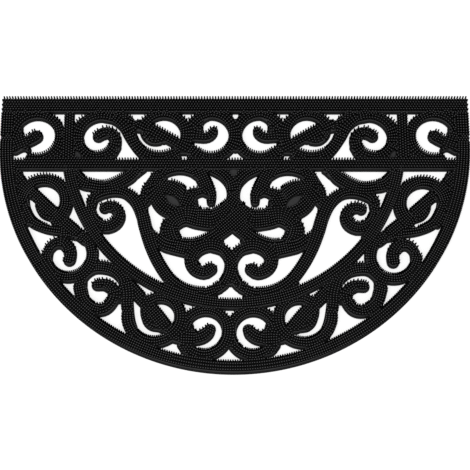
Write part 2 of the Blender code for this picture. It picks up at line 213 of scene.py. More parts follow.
# Scrolls under the arch: name, then rows of (x, y, half width)
FIELD_BARS = [
    ("saucer", [(-264.0, 104.5, 10.0), (-245.5, 82.5, 11.5), (-227.5, 76.5, 10.5),
                (-209.5, 74.5, 10.0), (-190.0, 79.5, 11.0), (-170.5, 90.5, 12.0),
                (-158.0, 103.5, 10.0)]),
    ("outer_coil", [(-228.0, 36.5, 8.2), (-221.0, 17.5, 10.0), (-204.0, 7.0, 11.0),
                    (-188.0, 13.0, 11.5), (-182.0, 27.0, 10.5), (-190.5, 39.5, 10.0),
                    (-202.0, 41.5, 10.0), (-206.0, 39.0, 9.5)]),
    ("lyre", [(-228.0, 36.5, 8.2), (-225.0, 54.5, 10.0), (-211.5, 64.0, 10.8),
              (-191.0, 67.5, 10.0), (-172.5, 63.5, 9.8), (-156.0, 49.0, 10.4),
              (-145.0, 27.0, 10.8), (-138.0, 2.5, 10.8), (-128.5, -26.0, 10.0),
              (-114.0, -54.5, 9.8), (-94.5, -80.5, 9.8), (-70.5, -95.5, 9.8),
              (-42.5, -101.0, 10.4), (-18.5, -93.5, 8.0)]),
    ("inner_coil", [(-2.0, -44.0, 9.8), (-14.5, -30.0, 9.8), (-33.5, -24.0, 9.8),
                    (-53.0, -30.0, 10.4), (-64.0, -44.5, 11.4), (-58.5, -60.0, 11.3),
                    (-43.5, -67.0, 11.0), (-33.0, -61.0, 11.0)]),
    ("inner_ring", [(-33.5, -24.0, 9.8), (-14.5, -30.5, 9.8), (-3.0, -47.0, 9.8),
                    (-3.0, -66.5, 9.8), (-12.0, -85.5, 9.8), (-31.5, -98.0, 9.8)]),
    ("inner_stem", [(-127.0, -8.0, 9.0), (-108.5, -22.5, 10.3), (-85.5, -29.0, 11.0),
                    (-59.5, -34.5, 11.4)]),
    ("heart", [(14.0, 29.5, 13.0), (-8.5, 8.5, 13.0), (-34.0, -11.5, 12.2),
               (-59.5, -22.5, 12.3), (-86.0, -22.0, 14.0), (-99.2, -5.5, 16.2),
               (-97.3, 12.5, 15.6), (-77.5, 24.5, 15.5), (-54.5, 21.5, 17.6),
               (-31.5, 21.5, 18.6), (-12.5, 36.0, 13.8), (0.0, 52.5, 11.4)]),
    ("stem", [(-62.0, 112.5, 11.4), (-53.5, 94.5, 12.0), (-45.0, 78.0, 11.5),
              (-36.5, 63.5, 8.8), (-36.0, 50.0, 7.5)]),
    ("leaf", [(-127.5, 87.0, 9.5), (-126.0, 76.0, 18.0), (-110.0, 62.0, 29.4),
              (-91.5, 48.0, 29.8), (-74.5, 40.0, 15.5), (-54.5, 27.5, 12.5)]),
    ("leaf_edge", [(-117.0, 105.5, 9.8), (-127.0, 87.5, 11.5), (-137.0, 68.0, 12.0),
                   (-141.0, 50.0, 9.5)]),
    ("crook", [(-75.0, 55.0, 13.0), (-64.0, 64.0, 10.8), (-51.0, 66.5, 8.0), (-41.0, 63.0, 7.4)]),
    ("bud_high", [(-125.0, 89.0, 9.8), (-109.0, 100.5, 9.0), (-89.5, 105.5, 9.5),
                  (-70.0, 102.5, 9.8), (-53.0, 91.5, 9.8)]),
    ("bud_side", [(-57.0, 112.5, 9.8), (-35.5, 104.5, 9.8), (-17.5, 94.0, 9.8),
                  (-4.5, 77.0, 9.8), (-2.5, 55.5, 9.8), (-9.0, 37.5, 11.4)]),
    ("first_slash", [(-355.0, 94.5, 10.6), (-333.5, 73.0, 9.8), (-289.0, 33.0, 9.2),
                     (-251.5, 1.5, 9.2)]),
    ("first_belly", [(-314.0, 52.0, 6.0), (-307.0, 41.5, 11.5), (-298.0, 33.0, 14.0),
                     (-288.0, 25.5, 11.0), (-279.5, 19.5, 7.0)]),
    ("first_bowl", [(-338.0, 58.5, 9.8), (-334.0, 37.5, 9.8), (-321.3, 16.0, 9.0),
                    (-299.0, 4.2, 8.0), (-276.0, 0.0, 8.2), (-253.0, -1.0, 9.8),
                    (-233.0, -13.5, 11.0)]),
    ("second_curl", [(-292.5, -49.0, 8.6), (-291.0, -32.5, 9.0), (-281.5, -21.0, 10.0),
                     (-268.5, -20.0, 11.0), (-258.5, -30.0, 10.8), (-256.0, -39.0, 10.3),
                     (-257.0, -47.5, 10.3)]),
    ("third_curl", [(-237.0, -92.5, 11.0), (-230.0, -114.0, 11.0), (-213.5, -127.0, 11.0),
                    (-195.5, -126.0, 10.6), (-183.5, -110.0, 10.3), (-185.5, -95.5, 10.6),
                    (-198.0, -87.5, 10.4), (-210.5, -88.0, 9.6)]),
    ("third_crown", [(-237.0, -92.5, 11.0), (-236.0, -76.5, 11.0), (-225.0, -63.5, 11.5),
                     (-210.5, -59.0, 11.0), (-187.5, -63.0, 11.0), (-170.5, -77.5, 10.6),
                     (-163.5, -98.5, 10.3), (-161.5, -120.0, 10.0), (-157.5, -144.5, 9.8),
                     (-150.0, -165.5, 9.8)]),
    ("fourth_slash", [(-169.0, -77.5, 10.6), (-155.5, -93.5, 10.8), (-138.5, -111.5, 10.8),
                      (-120.0, -129.5, 10.8), (-101.5, -151.5, 10.4), (-89.0, -166.0, 9.8)]),
    ("fourth_belly", [(-136.0, -119.5, 6.0), (-131.0, -131.0, 11.0), (-122.5, -141.5, 16.2),
                      (-113.0, -148.0, 16.0), (-105.0, -154.0, 11.0)]),
    ("fifth_hook", [(-84.0, -172.0, 9.5), (-68.5, -172.5, 11.5), (-52.0, -173.0, 11.3),
                    (-42.0, -169.5, 12.0), (-34.0, -163.5, 11.2), (-30.5, -157.8, 9.2)]),
]

# Scrolls under the arch: name, centre x, centre y, radius, start, sweep (degrees), half widths
FIELD_ARCS = [
    ("first_ring", -305.0, 48.0, 37.5, -52, 222, 10.9, 10.6),
    ("second_ring", -257.5, -40.0, 36.2, 50, -230, 8.8, 9.5),
    ("fourth_ring_high", -109.5, -140.0, 32.0, 120, -170, 10.0, 9.8),
    ("fourth_ring_low", -117.5, -136.5, 42.8, 180, 130, 9.8, 9.8),
    ("fifth_ring", -38.0, -163.5, 35.4, 235, 290, 9.7, 9.9),
]

# Webs under the arch
FIELD_WEBS = [
    ("peak", [(-21.0, 106.0, 9.0), (0.0, 99.5, 9.8)]),
    ("first_web", [(-356.0, 100.0, 5.5), (-349.0, 99.0, 5.0), (-346.0, 97.6, 5.2)]),
    ("first_tip", [(-327.0, 58.5, 5.0), (-323.5, 56.5, 5.0)]),
    ("bowl_tip", [(-331.0, 16.0, 5.0), (-328.0, 12.0, 5.0)]),
    ("first_side", [(-348.5, 77.0, 4.5), (-347.5, 66.0, 5.0)]),
    ("saucer_web", [(-146.0, 103.0, 4.5), (-149.6, 101.2, 5.2), (-157.0, 92.3, 3.6)]),
    ("bud_tip", [(-119.0, 84.0, 4.9), (-113.9, 86.5, 4.8), (-111.3, 89.5, 4.6)]),
    ("crook_web", [(-61.5, 59.0, 5.0), (-62.5, 54.5, 5.2), (-61.5, 50.0, 5.2)]),
    ("leaf_web", [(-77.5, 66.5, 3.5), (-75.0, 68.0, 3.6)]),
    ("leaf_foot", [(-149.8, 58.0, 5.4), (-147.0, 54.0, 5.0)]),
    ("lyre_web", [(-141.9, 40.0, 6.0), (-142.5, 34.0, 6.0)]),
    ("stem_web", [(-129.5, 3.4, 4.0), (-131.0, -2.0, 5.0)]),
    ("coil_corner", [(-213.0, -4.0, 5.0), (-210.5, -7.0, 5.0)]),
    ("second_web", [(-259.0, -8.0, 5.0), (-249.0, -10.7, 5.0)]),
    ("third_web", [(-215.6, -31.0, 4.0), (-215.6, -37.0, 4.8), (-216.0, -46.0, 4.8)]),
    ("third_apex", [(-174.0, -108.0, 4.6), (-173.9, -113.5, 4.6)]),
    ("drop_web", [(-88.0, -8.0, 5.5), (-85.5, -10.5, 5.0)]),
    ("diamond_side", [(-21.5, -14.6, 5.0), (-18.3, -14.6, 5.4)]),
    ("arch_web", [(-105.0, -86.0, 4.0), (-103.2, -84.5, 4.0)]),
    ("arch_corner", [(-27.0, -107.5, 5.5), (-24.5, -106.5, 5.5)]),
    ("arch_apex", [(-5.0, -78.5, 5.5), (-0.5, -83.0, 6.5)]),
    ("fifth_curl", [(-61.9, -149.5, 4.9), (-60.0, -157.7, 4.9), (-55.2, -162.7, 4.9)]),
    ("fifth_web", [(-75.0, -183.0, 7.0), (-66.5, -192.0, 8.5), (-60.0, -194.0, 8.0)]),
]

# Shallow smooth spots without pins: name, centre x, centre y, half length, width up, width down,
# turn in degrees, whether under the arch, sides
DISHES = [
    ("leaf", -98.0, 52.5, 14.5, 5.2, 5.2, -37.0, True, (-1, 1)),
    ("coil_web", -255.5, 132.0, 6.5, 1.6, 5.0, -52.0, False, (-1, 1)),
    ("peak", -1.5, 103.5, 6.8, 1.6, 9.0, 0.0, True, (-1,)),
]
DISH_DEPTH = 0.4
DISH_RIM = 1.0
DISH_MARGIN = 1.7
DISH_STEPS = 12
DISH_SHARES = (1.0, 0.65, 0.3)

# Rubber: name, low grey, high grey, height of each in mm, roughness, specular level. The grey runs
# from the low to the high one between the two heights: painted shade low down and painted light higher
# up
PLATE_RUBBERS = [
    # Plate: darker towards the floor and lighter at its top, painted shade on the walls and painted
    # light on the shoulder
    ("plate_painted_shade_rubber", 0.009, 0.017, 0.0, 5.0, 0.7, 0.12),
    # Ridges on edges that face the front: a lighter grey, a painted highlight
    ("ridge_painted_highlight", 0.03, 0.07, 0.0, 5.0, 0.6, 0.2),
    # Smooth spots: a lighter grey, painted light that the bare top would catch among the pins
    ("smooth_painted_light_rubber", 0.03, 0.055, 0.0, 5.0, 0.6, 0.3),
]
PIN_RUBBERS = [
    # Pin sides: nearly black towards the foot, painted shade in the gaps between pins
    ("pin_painted_shade_rubber", 0.001, 0.008, 9.0, 12.5, 0.8, 0.0),
    # Tips: a lighter grey, a painted highlight on each pin's tip
    ("tip_painted_highlight", 0.055, 0.1, 12.0, 12.5, 0.5, 0.3),
]
PLAIN_SLOT, RIDGE_HIGHLIGHT_SLOT, SMOOTH_LIT_SLOT = 0, 1, 2
SIDE_SLOT, TIP_HIGHLIGHT_SLOT = 0, 1
BLUE_SHARE = 1.03
DUST_SCALE = 22.0
DUST_DETAIL = 4.0
DUST_RANGE = (0.3, 0.75)
DUST_STRENGTH = (0.7, 1.15)
GRAIN_SCALE = 900.0
GRAIN_DETAIL = 3.0
GRAIN_STRENGTH = 0.25
GRAIN_DEPTH = 0.0002

# Floor, light and camera, in metres
FLOOR_HALF = 40.0
FLOOR_DROP = 0.0002
FLOOR_COLOUR = (0.6, 0.6, 0.6, 1)
FLOOR_ROUGHNESS = 0.9
FLOOR_GLOW = 0.7
WHITE = (1.0, 1.0, 1.0, 1.0)
WORLD_STRENGTH = 0.65
LIGHT_PLACE = (-0.7, -1.0, 2.0)
LIGHT_TARGET = (0.0, 0.0, 0.0)
LIGHT_SIZE = 1.2
LIGHT_POWER = 8.0
CAMERA_TILT = radians(16.0)
CAMERA_Y = -0.582
CAMERA_HEIGHT = 2.0186
CAMERA_LENS = 100.8
CAMERA_SENSOR = 36.0


def smooth_rows(rows, step_length):
    """Points along a smooth line through the rows, each (x, y, half width)."""
    first = tuple(2 * a - b for a, b in zip(rows[0], rows[1]))
    last = tuple(2 * a - b for a, b in zip(rows[-1], rows[-2]))
    line = [first] + rows + [last]
    points = []
    for p, a, b, q in zip(line, line[1:], line[2:], line[3:]):
        steps = max(2, ceil(hypot(b[0] - a[0], b[1] - a[1]) / step_length))
        for step in range(steps):
            t = step / steps
            points.append(tuple(
                0.5 * (2 * v1 + (v2 - v0) * t + (2 * v0 - 5 * v1 + 4 * v2 - v3) * t ** 2
                       + (3 * v1 - v0 - 3 * v2 + v3) * t ** 3)
                for v0, v1, v2, v3 in zip(p, a, b, q)))
    points.append(rows[-1])
    return points


def arc_rows(x, y, radius, start, sweep, half_start, half_end, step_deg):
    """Points along a part circle, each (x, y, half width)."""
    steps = ceil(abs(sweep) / step_deg)
    points = []
    for step in range(steps + 1):
        t = step / steps
        angle = radians(start + sweep * t)
        half = half_start + (half_end - half_start) * t
        points.append((x + radius * cos(angle), y + radius * sin(angle), half))
    return points


def place(x, y, side, in_field):
    """A point of the left half where it lies on the mat, on the left (-1) or the right (1)."""
    out_x = -side * x
    shift = RIGHT_SHIFT if side > 0 else 0.0
    if in_field:
        return out_x + shift + LEAN * min(0.0, y - LEAN_FROM_Y), y - TURN * out_x
    return out_x + shift + PANEL_SHIFT, y


def placed(rows, side, in_field):
    """The rows of a line where they lie on the mat."""
    return [place(x, y, side, in_field) + (half,) for x, y, half in rows]


def signed_area(loop):
    """Area within a loop, positive where it runs anticlockwise."""
    total = 0.0
    for (x0, y0), (x1, y1) in zip(loop, loop[1:] + loop[:1]):
        total += x0 * y1 - x1 * y0
    return total / 2


def add_polygon(pieces, loop):
    """Adds the loop anticlockwise, unless it has no area."""
    area = signed_area(loop)
    if abs(area) > LEAST_AREA:
        pieces.append(loop if area > 0 else loop[::-1])


def turn_radius(a, b, c):
    """Signed radius of the circle through three points, positive where the line turns left."""
    cross = (b[0] - a[0]) * (c[1] - b[1]) - (b[1] - a[1]) * (c[0] - b[0])
    sides = (hypot(b[0] - a[0], b[1] - a[1]) * hypot(c[0] - b[0], c[1] - b[1])
             * hypot(c[0] - a[0], c[1] - a[1]))
    return sides / (2 * cross) if abs(cross) > LEAST_CROSS else STRAIGHT


def bar_polygons(rows, inset):
    """A bar of changing width: short quads along the line and a round cap at each end."""
    pieces = []
    left, right = [], []
    rows = [(x, y, half - inset) for x, y, half in rows]
    for i, (x, y, half) in enumerate(rows):
        before = rows[max(i - 1, 0)]
        after = rows[min(i + 1, len(rows) - 1)]
        run = hypot(after[0] - before[0], after[1] - before[1])
        nx, ny = -(after[1] - before[1]) / run, (after[0] - before[0]) / run
        bend = turn_radius(before, (x, y), after) if 0 < i < len(rows) - 1 else STRAIGHT
        left_half = min(half, INNER_LIMIT * bend) if bend > 0 else half
        right_half = min(half, -INNER_LIMIT * bend) if bend < 0 else half
        left.append((x + nx * left_half, y + ny * left_half))
        right.append((x - nx * right_half, y - ny * right_half))
    for i in range(len(rows) - 1):
        add_polygon(pieces, [right[i], right[i + 1], left[i + 1]])
        add_polygon(pieces, [right[i], left[i + 1], left[i]])
    for end, rim in ((rows[0], left[0]), (rows[-1], right[-1])):
        x, y, half = end
        start = atan2(rim[1] - y, rim[0] - x)
        cap = []
        for step in range(CAP_STEPS + 1):
            angle = start + pi * step / CAP_STEPS
            cap.append((x + half * cos(angle), y + half * sin(angle)))
        add_polygon(pieces, cap)
    return pieces


def ring_polygons(x, y, inner, outer, start, sweep, lean):
    """Quads of a part ring, leaning sideways with depth."""
    pieces = []
    for step in range(RING_STEPS):
        loop = []
        for radius, at in ((inner, step), (outer, step), (outer, step + 1), (inner, step + 1)):
            angle = radians(start + sweep * at / RING_STEPS)
            down = radius * sin(angle)
            loop.append((x + radius * cos(angle) + lean * down, y + down))
        add_polygon(pieces, loop)
    return pieces


def box_polygon(x0, y0, x1, y1):
    """An upright rectangle."""
    return [(x0, y0), (x1, y0), (x1, y1), (x0, y1)]


def rail_polygons(inset):
    """The border, the arch, the straight rails and the dividers."""
    outer = ROUND_RADIUS - inset
    pieces = ring_polygons(0.0, CENTRE_Y, ROUND_RADIUS - BORDER_WIDTH + inset, outer, 180, 180,
                           BORDER_LEAN)
    pieces += ring_polygons(ARCH_X, ARCH_Y, ARCH_INNER + inset, ARCH_OUTER - inset, ARCH_START,
                            ARCH_SWEEP, 0.0)
    pieces.append(box_polygon(-outer, BACK_Y - TOP_WIDTH + inset, outer, BACK_Y - inset))
    for side in (-1, 1):
        edge = side * outer
        inside = side * (ROUND_RADIUS - SIDE_WIDTH + inset)
        low, high = sorted((edge, inside))
        pieces.append(box_polygon(low, CENTRE_Y, high, BACK_Y - RAIL_OVERLAP))
        middle = PANEL_SHIFT + side * DIVIDER_X
        half = DIVIDER_WIDTH / 2 - inset
        pieces.append(box_polygon(middle - half, MIDDLE_Y, middle + half, BACK_Y - RAIL_OVERLAP))
    reach = ROUND_RADIUS - BORDER_WIDTH / 2
    half = MIDDLE_WIDTH / 2 - inset
    pieces.append(box_polygon(-reach, MIDDLE_Y - half, reach, MIDDLE_Y + half))
    return pieces


def scroll_lines(step_length, step_deg):
    """Centrelines of all scrolls on both sides, each a list of (x, y, half width)."""
    lines = []
    for bars, arcs, in_field in ((PANEL_BARS, PANEL_ARCS, False), (FIELD_BARS, FIELD_ARCS, True)):
        half_lines = [arc_rows(*row[1:], step_deg) for row in arcs]
        half_lines += [smooth_rows(rows, step_length) for _, rows in bars]
        for line in half_lines:
            for side in (-1, 1):
                lines.append(placed(line, side, in_field))
    return lines


def web_lines():
    """Centrelines of the webs on both sides."""
    lines = []
    for webs, in_field in ((PANEL_WEBS, False), (FIELD_WEBS, True)):
        for _, rows in webs:
            for side in (-1, 1):
                lines.append(placed(smooth_rows(rows, WEB_STEP), side, in_field))
    return lines


def thinned(line, step):
    """Every so many points of a line, with its last."""
    return line[:-1][::step] + [line[-1]]


def covered(polygons):
    """Outline edges of everything the polygons cover, each as an ordered pair of points."""
    coords, faces = [], []
    for loop in polygons:
        faces.append(list(range(len(coords), len(coords) + len(loop))))
        coords += loop
    verts, _, tris, _, _, origins = delaunay_2d_cdt(coords, [], faces, 1, WELD, True)
    directed = set()
    for tri, origin in zip(tris, origins):
        if origin:
            for i in range(len(tri)):
                directed.add((tri[i], tri[(i + 1) % len(tri)]))
    outline = [(a, b) for a, b in directed if (b, a) not in directed]
    return [tuple(v) for v in verts], sorted(outline)


def chained_loops(verts, outline):
    """The outline's edges joined into closed loops of points."""
    following = {}
    for a, b in outline:
        following.setdefault(a, []).append(b)
    loops = []
    while following:
        loop = []
        here = min(following)
        while here in following:
            options = following[here]
            step = options.pop(0)
            if not options:
                del following[here]
            loop.append(verts[here])
            here = step
        loops.append(loop)
    return loops


def cleaned(loop):
    """The loop without points that crowd together or lie on a straight run."""
    points = []
    for point in loop:
        if not points or hypot(point[0] - points[-1][0], point[1] - points[-1][1]) > MERGE_DISTANCE:
            points.append(point)
    while len(points) > 3 and hypot(points[0][0] - points[-1][0],
                                    points[0][1] - points[-1][1]) < MERGE_DISTANCE:
        points.pop()
    changed = True
    while changed and len(points) > 3:
        changed = False
        kept = []
        skip = False
        for i, point in enumerate(points):
            before = kept[-1] if kept else points[i - 1]
            after = points[(i + 1) % len(points)]
            run = hypot(after[0] - before[0], after[1] - before[1])
            off = abs((after[0] - before[0]) * (point[1] - before[1])
                      - (after[1] - before[1]) * (point[0] - before[0]))
            if not skip and run > 0 and off / run < FLAT_TOLERANCE:
                skip = True
                changed = True
            else:
                skip = False
                kept.append(point)
        points = kept
    return points


def perimeter(loop):
    """Length of a closed loop."""
    return sum(hypot(a[0] - b[0], a[1] - b[1]) for a, b in zip(loop, loop[1:] + loop[:1]))


def outline_loops(polygons, smallest_area, smallest_width):
    """Loops round everything the polygons cover, largest first: (anticlockwise loop, is a hole)."""
    verts, outline = covered(polygons)
    loops = [cleaned(loop) for loop in chained_loops(verts, outline)]
    loops.sort(key=lambda loop: -abs(signed_area(loop)))
    kept = []
    for loop in loops:
        area = signed_area(loop)
        if abs(area) > smallest_area and 2 * abs(area) / perimeter(loop) > smallest_width / 2:
            kept.append((loop if area > 0 else loop[::-1], area < 0))
    return kept


def new_object(name, points, surfaces, sharp_deg, slots):
    """A mesh object from points in mm, smooth but for its sharp edges."""
    mesh = bpy.data.meshes.new(name)
    mesh.from_pydata([(x * MM, y * MM, z * MM) for x, y, z in points], [], surfaces)
    mesh.polygons.foreach_set("material_index", slots)
    mesh.validate()
    mesh.update()
    mesh.shade_smooth()
    mesh.set_sharp_from_angle(angle=radians(sharp_deg))
    thing = bpy.data.objects.new(name, mesh)
    bpy.context.scene.collection.objects.link(thing)
    return thing


def dish_loops():
    """Rim and floor loops of the shallow dishes, each with how far it lies below the top."""
    loops = []
    for _, x, y, length, width_up, width_down, turn, in_field, sides in DISHES:
        c, s = cos(radians(turn)), sin(radians(turn))
        for side in sides:
            for inset, depth in ((0.0, 0.0), (DISH_RIM, DISH_DEPTH)):
                loop = []
                for step in range(2 * DISH_STEPS):
                    t = step / DISH_STEPS
                    along = 1 - 2 * t if t < 1 else 2 * t - 3
                    u = (length - inset * 2) * along
                    v = (width_up - inset if t < 1 else inset - width_down) * (1 - along ** 2)
                    loop.append(place(x + u * c - v * s, y + u * s + v * c, side, in_field))
                loops.append((loop if signed_area(loop) > 0 else loop[::-1], depth))
    return loops


def ridge_loops():
    """Thin bands along the front edges of the straight rails and of the arch, which take the ridge's
    painted highlight.
    """
    low, high = SLOPE_IN, SLOPE_IN + RIDGE_WIDTH
    inner = ROUND_RADIUS - SIDE_WIDTH
    loops = [box_polygon(-inner, BACK_Y - TOP_WIDTH + low, inner, BACK_Y - TOP_WIDTH + high)]
    middle = MIDDLE_Y - MIDDLE_WIDTH / 2
    loops.append(box_polygon(-inner, middle + low, inner, middle + high))
    arch = []
    for radius, steps in ((ARCH_OUTER - high, range(RING_STEPS + 1)),
                          (ARCH_OUTER - low, range(RING_STEPS, -1, -1))):
        for step in steps:
            angle = radians(ARCH_START + ARCH_SWEEP * step / RING_STEPS)
            arch.append((ARCH_X + radius * cos(angle), ARCH_Y + radius * sin(angle)))
    loops.append(arch if signed_area(arch) > 0 else arch[::-1])
    return loops


class Edges:
    """Points along the outline of the plate, each with how far its wall faces the front."""

    def __init__(self, loops):
        self.facing = []
        self.walls = []
        places = []
        for loop, is_hole in loops:
            turn = -1 if is_hole else 1
            for a, b in zip(loop, loop[1:] + loop[:1]):
                run = hypot(b[0] - a[0], b[1] - a[1])
                nx, ny = turn * (b[1] - a[1]) / run, turn * (a[0] - b[0]) / run
                steps = ceil(run / EDGE_SAMPLE)
                for step in range(steps):
                    t = step / steps
                    x, y = a[0] + (b[0] - a[0]) * t, a[1] + (b[1] - a[1]) * t
                    places.append((x, y))
                    self.walls.append((x, y, nx, ny))
                    self.facing.append(front_facing(x, y, nx, ny))
        self.tree = KDTree(len(places))
        for i, (x, y) in enumerate(places):
            self.tree.insert((x, y, 0.0), i)
        self.tree.balance()

    def nearest(self, x, y):
        """Distance to the outline, and how far the wall there faces the front."""
        _, i, distance = self.tree.find((x, y, 0.0))
        return distance, self.facing[i]

    def too_close(self, x, y, share):
        """True where the pin-free margin of an edge covers the place."""
        for _, i, distance in self.tree.find_range((x, y, 0.0), PIN_EDGE + PIN_FRONT_EDGE):
            wall_x, wall_y, nx, ny = self.walls[i]
            behind = (x - wall_x) * nx + (y - wall_y) * ny < 0
            margin = PIN_EDGE + (PIN_FRONT_EDGE * self.facing[i] if behind else 0.0)
            if distance < share * margin:
                return True
        return False

    def lean_of(self, x, y):
        """How far a pin's tip leans out over a wall that faces the back, or None elsewhere."""
        _, i, distance = self.tree.find((x, y, 0.0))
        _, _, nx, ny = self.walls[i]
        if distance > BACK_ROW or ny < BACK_FACING:
            return None
        lean = BACK_LEAN if y > BACK_Y - BACK_ROW else HOLE_LEAN
        return nx * lean, ny * lean


def front_facing(x, y, nx, ny):
    """Part of a direction that points to the front, from 0 to 1."""
    away = hypot(FRONT_X - x, FRONT_Y - y)
    return max(0.0, (nx * (FRONT_X - x) + ny * (FRONT_Y - y)) / away)


def plate_outlines():
    """Loops round the plate at its foot and at both edges of the thin ridge, each drawn further in."""
    lines = scroll_lines(CURVE_STEP, ARC_STEP_DEG)
    lines += [thinned(line, WEB_THINNING) for line in web_lines()]
    outlines = []
    for inset in (0.0, SLOPE_IN, SLOPE_IN + RIDGE_WIDTH):
        shapes = rail_polygons(inset)
        for line in lines:
            if max(row[2] for row in line) > inset + NARROWEST_TOP:
                shapes += bar_polygons(line, inset)
        outlines.append(outline_loops(shapes, SMALLEST_HOLE_AREA, SMALLEST_HOLE_WIDTH))
    return outlines


def plate_levels(outlines):
    """All loops drawn on the plate: (loop, depth, (kind or outline number, 1, 0 or -1 for a hole))."""
    levels = [(loop, 0.0, (level, -1 if is_hole else 1))
              for level, loops in enumerate(outlines) for loop, is_hole in loops]
    levels += [(loop, depth, ("dish" if depth else "rim", 0)) for loop, depth in dish_loops()]
    levels += [(loop, 0.0, ("ridge", 0)) for loop in ridge_loops()]
    return levels


def top_slot(shapes, on_ridge, facing):
    """Material slot of a triangle of the top, from the shapes that cover it."""
    # Smooth spots take a lighter rubber, which paints light on them
    if "dish" in shapes or "rim" in shapes:
        return SMOOTH_LIT_SLOT
    # Ridges on edges that face the front take a lighter rubber, a painted highlight
    if "ridge" in shapes or on_ridge and facing > RIDGE_FACING:
        return RIDGE_HIGHLIGHT_SLOT
    return PLAIN_SLOT


def top_triangles(verts, tris, origins, kinds, edges):
    """The triangles that lie on the plate, with their slots and corners."""
    solid, slots, corners = [], [], []
    for tri, origin in zip(tris, origins):
        within = [sum(kinds[i][1] for i in origin if kinds[i][0] == level) > 0 for level in range(3)]
        if not within[0]:
            continue
        corner = [tuple(verts[i]) for i in tri]
        distance, facing = edges.nearest(sum(c[0] for c in corner) / 3, sum(c[1] for c in corner) / 3)
        on_ridge = within[1] and not within[2] and distance < 2 * SLOPE_IN
        solid.append(tri)
        slots.append(top_slot({kinds[i][0] for i in origin}, on_ridge, facing))
        corners.append(corner)
    return solid, slots, corners


def top_height(distance, depth, is_raised):
    """Height of the plate's top at a distance from its edge."""
    height = PLATE_TOP - SLOPE_DROP * (1 - min(1.0, max(0.0, distance - SLOPE_START) / SLOPE_IN))
    height -= depth
    if is_raised and distance > SLOPE_IN / 2:
        height += RIDGE_RISE
    return height


def plate_object():
    """The plate, with the edges of its outline and its top triangles."""
    outlines = plate_outlines()
    edges = Edges(outlines[0])
    coords, depths, faces, kinds = [], [], [], []
    for loop, depth, kind in plate_levels(outlines):
        faces.append(list(range(len(coords), len(coords) + len(loop))))
        coords += loop
        depths += [depth] * len(loop)
        kinds.append(kind)
    verts, _, tris, sources, _, origins = delaunay_2d_cdt(coords, [], faces, 1, WELD, True)
    solid, slots, corners = top_triangles(verts, tris, origins, kinds, edges)
    used = sorted({index for tri in solid for index in tri})
    raised = {i for tri, slot in zip(solid, slots) if slot == RIDGE_HIGHLIGHT_SLOT for i in tri}
    low = {index: at for at, index in enumerate(used)}
    high = {index: at + len(used) for at, index in enumerate(used)}
    points = [(verts[i][0], verts[i][1], 0.0) for i in used]
    for i in used:
        x, y = verts[i]
        depth = max((depths[source] for source in sources[i]), default=0.0)
        points.append((x, y, top_height(edges.nearest(x, y)[0], depth, i in raised)))
    surfaces = [tuple(high[i] for i in tri) for tri in solid]
    surfaces += [tuple(low[i] for i in reversed(tri)) for tri in solid]
    directed = {(tri[i], tri[(i + 1) % 3]) for tri in solid for i in range(3)}
    for a, b in sorted(directed):
        if (b, a) not in directed:
            surfaces.append((low[a], low[b], high[b], high[a]))
    slots += [PLAIN_SLOT] * (len(surfaces) - len(slots))
    return new_object("plate", points, surfaces, PLATE_SHARP_DEG, slots), edges, corners


def straight_rows(x0, y0, x1, y1, half):
    """Points along a straight line, about 1 mm apart."""
    steps = ceil(hypot(x1 - x0, y1 - y0))
    return [(x0 + (x1 - x0) * s / steps, y0 + (y1 - y0) * s / steps, half)
            for s in range(steps + 1)]


def rail_lines():
    """Centrelines of the rails: (area, rows of (x, y, half width), pitch, row spacing, staggered)."""
    top_y = BACK_Y - TOP_WIDTH / 2
    border_half = BORDER_WIDTH / 2
    arch_half = (ARCH_OUTER - ARCH_INNER) / 2
    top = straight_rows(-ROUND_RADIUS, top_y, ROUND_RADIUS, top_y, TOP_WIDTH / 2)
    border = arc_rows(0.0, CENTRE_Y, ROUND_RADIUS - border_half, 180, 180, border_half, border_half,
                      RAIL_STEP_DEG)
    border = [(x + BORDER_LEAN * (y - CENTRE_Y), y, half) for x, y, half in border]
    reach = ROUND_RADIUS - border_half
    sides = [straight_rows(x, CENTRE_Y, x, BACK_Y - TOP_WIDTH, border_half) for x in (-reach, reach)]
    arch = arc_rows(ARCH_X, ARCH_Y, ARCH_INNER + arch_half, ARCH_START, ARCH_SWEEP, arch_half,
                    arch_half, RAIL_STEP_DEG)
    rail = (RAIL_PITCH, RAIL_ROWS, True)
    lines = [("border", top, *rail), ("border", border, BORDER_PITCH, BORDER_ROWS, False)]
    lines += [("border", side, RAIL_PITCH, BORDER_ROWS, False) for side in sides]
    middle = straight_rows(-ROUND_RADIUS, MIDDLE_Y, ROUND_RADIUS, MIDDLE_Y, MIDDLE_WIDTH / 2)
    lines.append(("panel", middle, *rail))
    for side in (-1, 1):
        x = PANEL_SHIFT + side * DIVIDER_X
        divider = straight_rows(x, MIDDLE_Y, x, BACK_Y, DIVIDER_WIDTH / 2)
        lines.append(("panel", divider, *rail))
    lines.append(("arch", arch, SCROLL_PITCH, SCROLL_ROWS, False))
    return lines


def with_ends(rows):
    """The rows carried on round both ends, narrowing as a half circle does."""
    ends = []
    for a, b in ((rows[0], rows[1]), (rows[-1], rows[-2])):
        run = hypot(a[0] - b[0], a[1] - b[1])
        dx, dy = (a[0] - b[0]) / run, (a[1] - b[1]) / run
        end = []
        for step in range(1, int(a[2])):
            end.append((a[0] + dx * step, a[1] + dy * step, sqrt(a[2] ** 2 - step ** 2)))
        ends.append(end)
    return ends[0][::-1] + rows + ends[1]


def stations(rows, pitch):
    """Places at equal distances along a line, each (x, y, half width, direction x, direction y)."""
    places = []
    ahead = pitch / 2
    for a, b in zip(rows, rows[1:]):
        run = hypot(b[0] - a[0], b[1] - a[1])
        while ahead <= run:
            t = ahead / run
            x, y, half = (p + (q - p) * t for p, q in zip(a, b))
            places.append((x, y, half, (b[0] - a[0]) / run, (b[1] - a[1]) / run))
            ahead += pitch
        ahead -= run
    return places


